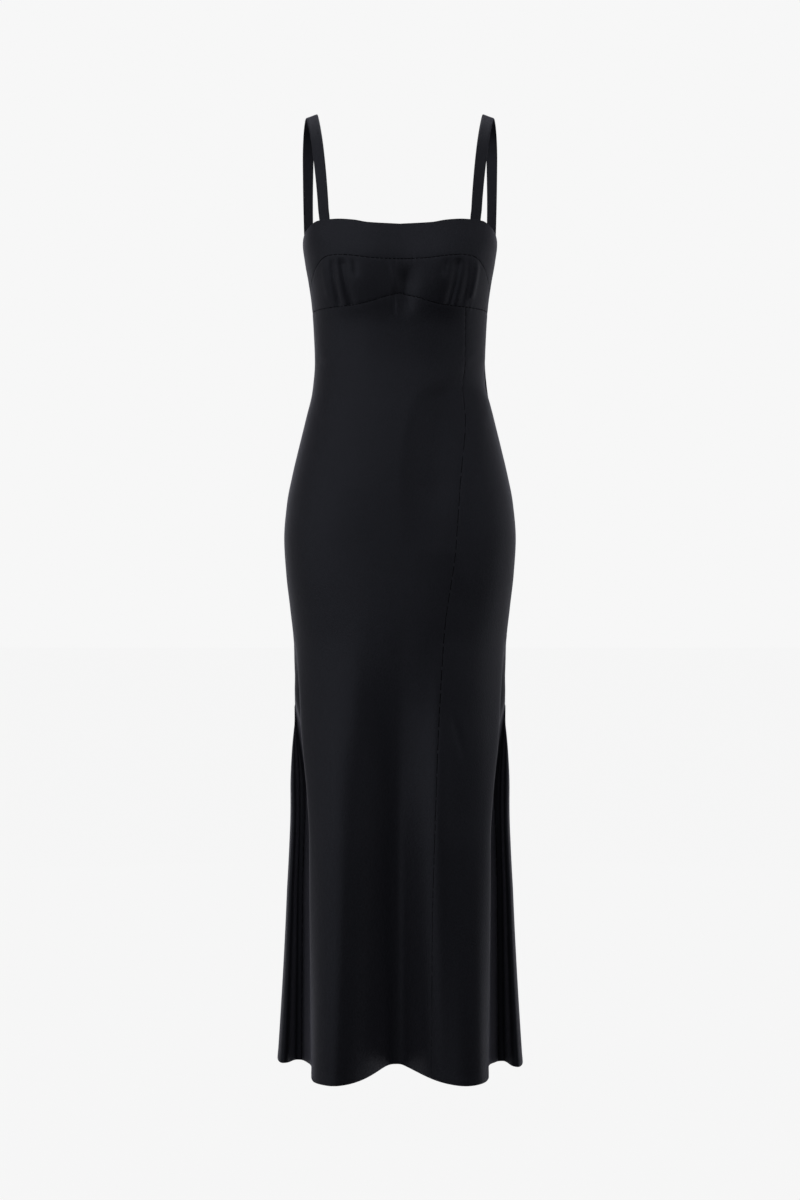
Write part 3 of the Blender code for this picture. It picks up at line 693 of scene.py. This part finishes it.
def shell(name, outer, inner, uv, materials, sewn_and_shaded):
    """A closed mesh between two grids of points. Its materials are the cloth's face, its reverse, and
    that of the outer faces beside a seam: dark stitches and turned edge, and painted shade."""
    rows, columns = outer.shape[:2]
    count = rows * columns
    index = np.arange(count).reshape(rows, columns)
    corners = (index[:-1, :-1], index[1:, :-1], index[1:, 1:], index[:-1, 1:])
    front = np.stack([corner.ravel() for corner in corners], axis=1)
    back = front[:, [0, 3, 2, 1]] + count
    rim = np.concatenate([index[0, :], index[1:, -1], index[-1, -2::-1], index[-2:0:-1, 0]])
    after = np.roll(rim, -1)
    sides = np.stack([rim, after, after + count, rim + count], axis=1)
    faces = np.concatenate([front, back, sides])
    points, coordinates = np.stack([outer, inner]), np.stack([uv, uv])
    piece = make_piece(name, points, faces.tolist(), coordinates, materials)
    used = np.zeros(len(faces), np.int32)
    used[: len(front)] = 2 * sewn_and_shaded.ravel()
    used[len(front) : len(front) + len(back)] = 1
    piece.data.polygons.foreach_set("material_index", used)
    return piece


def evened(shares, first, last):
    """Shares across a skirt panel, respaced so that its columns lie more evenly round the hem."""
    fine = np.linspace(0, 1, EVENED_POINTS)
    angle = first + (last - first) * fine
    low = np.full_like(angle, EVENED_Z)
    line = place(tube_radius(angle, low), angle, low)
    run = np.concatenate([[0], np.cumsum(np.linalg.norm(np.diff(line, axis=0), axis=1))])
    return np.interp(shares, EVENED * run / run[-1] + (1 - EVENED) * fine, fine)


def cloth_points(name, angle, z, share):
    """The points of a panel's face, with all its small form."""
    radius = tube_radius(angle, z)
    rise = creases(angle, z, place(radius, angle, z)[..., 0]) + seam_puckers(angle, z, name)
    if name == "bust_panel":
        rise += pleats(angle, share)
    return place(radius + rise, angle, z)


def panel(name, left, right, top, bottom, free, materials):
    """A panel's shell. left and right give its edges' angles at a share of its height, and top and
    bottom its edges' heights at an angle. They are seams, but for the free one, which is folded at
    the top and hemmed at the bottom."""
    (width, height), (across, down) = PANEL_GRIDS[name]
    s, t = stops(height, down), stops(width, across)
    if free == "bottom":
        t = evened(t, left(s)[-1], right(s)[-1])
    share = np.repeat(s[:, None], len(t), axis=1)
    angle = left(s)[:, None] + (right(s) - left(s))[:, None] * t[None, :]
    high, low = top(angle), bottom(angle)
    z = high + (low - high) * share
    points = cloth_points(name, angle, z, share)
    normal = grid_normals(points)
    edges = edge_distances(points)
    seam = np.minimum.reduce([edges[side] for side in edges if side != free])
    turned = rounded(edges[free]) if free else np.zeros_like(z)
    sunk = np.maximum(slot(seam), turned)
    if free == "bottom":
        sunk -= HEM_RISE * (1 - eased(edges["bottom"], HEM_FOLD - HEM_STEP, HEM_FOLD + HEM_STEP))
    outer = points - sunk[..., None] * normal
    inner = points - (CLOTH - turned)[..., None] * normal
    uv = np.stack([np.radians(angle) * SIDE_RADIUS, z], axis=-1)
    # Faces beside a seam take the dark seam material: stitches plus painted shade.
    return shell("cloth_" + name, outer, inner, uv, materials, stitched_and_shaded(seam, angle, z))


def between_rows(values, at):
    """A smooth curve through evenly numbered values, at places between them."""
    last = len(values) - 1
    i = np.clip(at.astype(int), 0, last - 1)
    t = at - i
    a, b = values[i], values[i + 1]
    before, after = values[np.maximum(i - 1, 0)], values[np.minimum(i + 2, last)]
    slope_a = np.where(i > 0, (b - before) / 2, b - a)
    slope_b = np.where(i < last - 1, (after - a) / 2, b - a)
    blend = a * (1 + 2 * t) * (1 - t) ** 2 + b * t * t * (3 - 2 * t)
    return blend + slope_a * t * (1 - t) ** 2 - slope_b * t * t * (1 - t)


def strap_rows():
    """The rows of STRAP, with one more at each end for the length that is tucked in."""
    rows = np.array(list(STRAP.values())).T
    ends = rows[[0, -1]]
    ends[:, :3] += STRAP_TUCK * unit(ends[:, :3] - rows[[1, -2], :3])
    return np.concatenate([ends[:1], rows, ends[1:]])


def strap_section():
    """A strap's cross section, across and through it: round edges, and a little thinner between."""
    around = np.linspace(0, 2 * np.pi, STRAP_SIDES, endpoint=False)
    parts = zip((np.cos(around), np.sin(around)), STRAP_SQUARE)
    u, v = (np.sign(part) * np.abs(part) ** power for part, power in parts)
    full = STRAP_MIDDLE + (1 - STRAP_MIDDLE) * np.abs(u) ** 2
    return u * STRAP_WIDTH / 2, v * STRAP_THICKNESS / 2 * full


def strap(name, side, material):
    """A strap as a folded ribbon with soft edges, tucked behind the band at both ends."""
    rows = strap_rows()
    legs = np.linalg.norm(np.diff(rows[:, :3], axis=0), axis=1)
    length = np.concatenate([[0], np.cumsum(legs)])
    run = np.linspace(0, length[-1], STRAP_STATIONS)
    at = through(length, np.arange(len(rows)), run)
    x, y, z, turn, roll = (between_rows(column, at) for column in rows.T)
    line = np.stack([side * x, y, z], axis=1)
    # Its ends go down between the band's two layers.
    from_end = np.minimum(run, run[::-1])
    inward = STRAP_INSET * (1 - eased(from_end, STRAP_TUCK, STRAP_TUCK + STRAP_INSET_RUN))
    line[:, :2] *= (1 - inward / np.hypot(line[:, 0], line[:, 1]))[:, None]
    thin, full = (STRAP_TUCK + up for up in STRAP_THINS)
    body = STRAP_END + (1 - STRAP_END) * eased(from_end, thin, full)
    turn, roll = np.radians(turn), np.radians(roll)
    level = np.cos(roll)
    width = np.stack([side * np.cos(turn) * level, np.sin(turn) * level, -np.sin(roll)], axis=1)
    normal = unit(np.cross(width, unit(np.gradient(line, axis=0))) * side)
    u, v = strap_section()
    thick = (v[None, :] * body[:, None])[..., None]
    ring = line[:, None] + u[None, :, None] * width[:, None] + thick * normal[:, None]
    index = np.arange(ring.shape[0] * ring.shape[1]).reshape(ring.shape[:2])
    after = np.roll(index, -1, axis=1)
    corners = (index[:-1], after[:-1], after[1:], index[1:])
    faces = np.stack([corner.ravel() for corner in corners], axis=1).tolist()
    faces += [index[0, ::-1].tolist(), index[-1].tolist()]
    if side < 0:
        faces = [face[::-1] for face in faces]
    uv = np.stack(np.broadcast_arrays(u[None, :], run[:, None]), axis=-1)
    return make_piece("cloth_" + name, ring, faces, uv, [material])


# ---------------------------------------------------------------- materials


def node(tree, kind, **values):
    """A new node, with its sockets' values or its own settings by name."""
    made = tree.nodes.new(kind)
    for key, value in values.items():
        if key in made.inputs:
            made.inputs[key].default_value = value
        else:
            setattr(made, key, value)
    return made


def principled(name, values):
    """A new material, with its shader's values by name."""
    material = bpy.data.materials.new(name)
    material.use_nodes = True
    shader = material.node_tree.nodes["Principled BSDF"]
    for socket, value in values.items():
        shader.inputs[socket].default_value = value
    return material


def satin(name, colour, roughness, sheen, weave_depth):
    """Near-black satin: long floats in the weave, soft uneven gloss and a faint tone variation."""
    material = principled(name, {
        "Specular IOR Level": 0.465,
        "Specular Tint": (0.79, 0.825, 1.0, 1.0),
        "Sheen Weight": sheen,
        "Sheen Roughness": 0.45,
        "Sheen Tint": (0.81, 0.81, 1.0, 1.0),
    })
    tree = material.node_tree
    shader = tree.nodes["Principled BSDF"]
    link = tree.links.new
    uv = node(tree, "ShaderNodeUVMap", uv_map="cloth")

    def noise(label):
        across, along, detail = WEAVE[label]
        stretch = node(tree, "ShaderNodeMapping", Scale=(across, along, 1.0))
        link(uv.outputs["UV"], stretch.inputs["Vector"])
        made = node(tree, "ShaderNodeTexNoise", Scale=1.0, Detail=detail, Roughness=0.6)
        made.label = label
        link(stretch.outputs["Vector"], made.inputs["Vector"])
        return made.outputs["Fac"]

    def spread(source, low, high):
        made = node(tree, "ShaderNodeMapRange")
        limits = {"From Min": NOISE_RANGE[0], "From Max": NOISE_RANGE[1], "To Min": low, "To Max": high}
        for socket, value in limits.items():
            made.inputs[socket].default_value = value
        link(source, made.inputs["Value"])
        return made.outputs["Result"]

    mix = node(tree, "ShaderNodeMix", data_type="RGBA")
    for socket, tone in (("A", 1 - TONE_SHARE), ("B", 1 + TONE_SHARE)):
        mix.inputs[socket].default_value = (*(tone * c for c in colour), 1.0)
    link(spread(noise("tone"), 0.0, 1.0), mix.inputs["Factor"])
    link(mix.outputs["Result"], shader.inputs["Base Color"])
    gloss = spread(noise("uneven threads"), roughness - GLOSS_VARIES, roughness + GLOSS_VARIES)
    link(gloss, shader.inputs["Roughness"])

    # Three bumps on each other, from the softest to the finest.
    normal = None
    bumps = {
        # the noise: how strong it is, and how deep in metres
        "soft unevenness": (0.25, 0.0010),
        "grain": (1.0, 0.00035),
        "warp floats": (0.30, weave_depth),
    }
    for label, (strength, distance) in bumps.items():
        bump = node(tree, "ShaderNodeBump", Strength=strength, Distance=distance)
        link(noise(label), bump.inputs["Height"])
        if normal:
            link(normal, bump.inputs["Normal"])
        normal = bump.outputs["Normal"]
    link(normal, shader.inputs["Normal"])
    material.diffuse_color = (*colour, 1.0)
    return material


def thread_and_seam_shade():
    """Matte black, for the stitches and turned edges down in a seam, and painted shade in its ditch."""
    # Near-black and matte: the seam's stitches, and painted shade where its ditch lies.
    return principled("seam_thread_and_shade", {
        "Base Color": (0.002, 0.002, 0.003, 1.0),
        "Roughness": 0.9,
        "Specular IOR Level": 0.08,
    })


def plain_white():
    """The studio's floor: evenly pale, with hardly a shadow."""
    return principled("studio_white", {
        "Base Color": (0.02, 0.02, 0.02, 1.0),
        "Roughness": 1.0,
        "Specular IOR Level": 0.0,
        "Emission Color": (1.0, 1.0, 1.0, 1.0),
        "Emission Strength": WHITE - FLOOR_LESS,
    })


# ---------------------------------------------------------------- the dress


def dress():
    """Every piece of the dress, each on its body and in the place of its solid."""
    cloth = [satin(name, *finish) for name, finish in SATINS.items()] + [thread_and_seam_shade()]
    lap = SEAM_LAP / 2
    slant_lap = math.degrees(lap / SLANT_LAP_RADIUS)
    tip = BAND_SEAM["angle"][-1] - BUST_SHORT
    side = SIDE_SEAM + math.degrees(lap / SIDE_RADIUS)
    skirt_top = UNDERBUST["z"][-1]

    def at(angle):
        return lambda share: np.full_like(share, angle)

    def slant(aside):
        return lambda share: slant_angle(skirt_top + (HEM_Z - skirt_top) * share) + aside

    def over(edge):
        return lambda angle: edge(angle) - lap

    def under(edge):
        return lambda angle: edge(angle) + lap

    # Each panel's left, right, top and bottom edge, and which of them is free.
    outlines = {
        "band_front": (at(-side), at(side), neck, over(band_foot), "top"),
        "band_back": (at(180 - side), at(180 + side), neck, over(underbust), "top"),
        "bust_panel": (at(-tip), at(tip), under(band_foot), over(underbust), None),
        "front_panel": (at(-side), slant(slant_lap), under(underbust), hem_height, "bottom"),
        "front_side_panel": (slant(-slant_lap), at(side), under(underbust), hem_height, "bottom"),
        "back_panel": (at(180 - side), at(180 + side), under(underbust), hem_height, "bottom"),
    }
    made = {name: panel(name, *outline, cloth) for name, outline in outlines.items()}
    made["strap_left"] = strap("strap_left", 1, cloth[0])
    made["strap_right"] = strap("strap_right", -1, cloth[0])
    for name, piece in made.items():
        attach(piece, "root")
        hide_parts(name)


# ---------------------------------------------------------------- the studio


def studio_floor():
    """A wide pale floor, whose light on the dress is the low lamps' job."""
    mesh = bpy.data.meshes.new("floor")
    half = FLOOR_SIZE / 2
    corners = [(-half, -half), (half, -half), (half, half), (-half, half)]
    mesh.from_pydata([(x, y, FLOOR_Z) for x, y in corners], [], [(0, 1, 2, 3)])
    mesh.materials.append(plain_white())
    floor = put("floor", mesh)
    floor.visible_diffuse = False
    floor.visible_glossy = False


def surroundings():
    """A background that is white to look at and gives the dress hardly any light."""
    world = bpy.data.worlds.new("studio")
    bpy.context.scene.world = world
    world.use_nodes = True
    tree = world.node_tree
    tree.nodes.clear()
    seen = node(tree, "ShaderNodeBackground", Color=(1, 1, 1, 1), Strength=WHITE)
    lit = node(tree, "ShaderNodeBackground", Color=(1, 1, 1, 1), Strength=AMBIENT)
    path = node(tree, "ShaderNodeLightPath")
    mix = node(tree, "ShaderNodeMixShader")
    output = node(tree, "ShaderNodeOutputWorld")
    tree.links.new(path.outputs["Is Camera Ray"], mix.inputs[0])
    tree.links.new(lit.outputs[0], mix.inputs[1])
    tree.links.new(seen.outputs[0], mix.inputs[2])
    tree.links.new(mix.outputs[0], output.inputs["Surface"])


def lamps():
    """The soft boxes of RINGS, all turned to the middle of the dress."""
    middle = Vector((0, 0, CAMERA_Z))
    for ring, (up, distance, width, height, boxes) in RINGS.items():
        for azimuth, power in boxes.items():
            light = bpy.data.lights.new(f"{ring}_{azimuth}", "AREA")
            light.shape = "RECTANGLE"
            light.size, light.size_y = width, height
            light.energy = power
            turn, rise = math.radians(azimuth), math.radians(up)
            level = math.cos(rise)
            way = Vector((level * math.sin(turn), -level * math.cos(turn), math.sin(rise)))
            lamp = put(light.name, light)
            lamp.location = middle + distance * way
            lamp.rotation_euler = (-way).to_track_quat("-Z", "Y").to_euler()
            lamp.visible_camera = False


def camera():
    """A level camera that frames the dress from the front."""
    data = bpy.data.cameras.new("camera")
    data.sensor_fit = "VERTICAL"
    data.sensor_height = SENSOR
    data.sensor_width = SENSOR
    data.lens = SENSOR * CAMERA_DISTANCE / FRAME_HEIGHT
    seat = put("camera", data)
    seat.location = (0, -CAMERA_DISTANCE, CAMERA_Z)
    seat.rotation_euler = (math.pi / 2, 0, 0)
    bpy.context.scene.camera = seat


studio_floor()
surroundings()
lamps()
camera()
dress()
bpy.context.scene.view_settings.view_transform = "Standard"
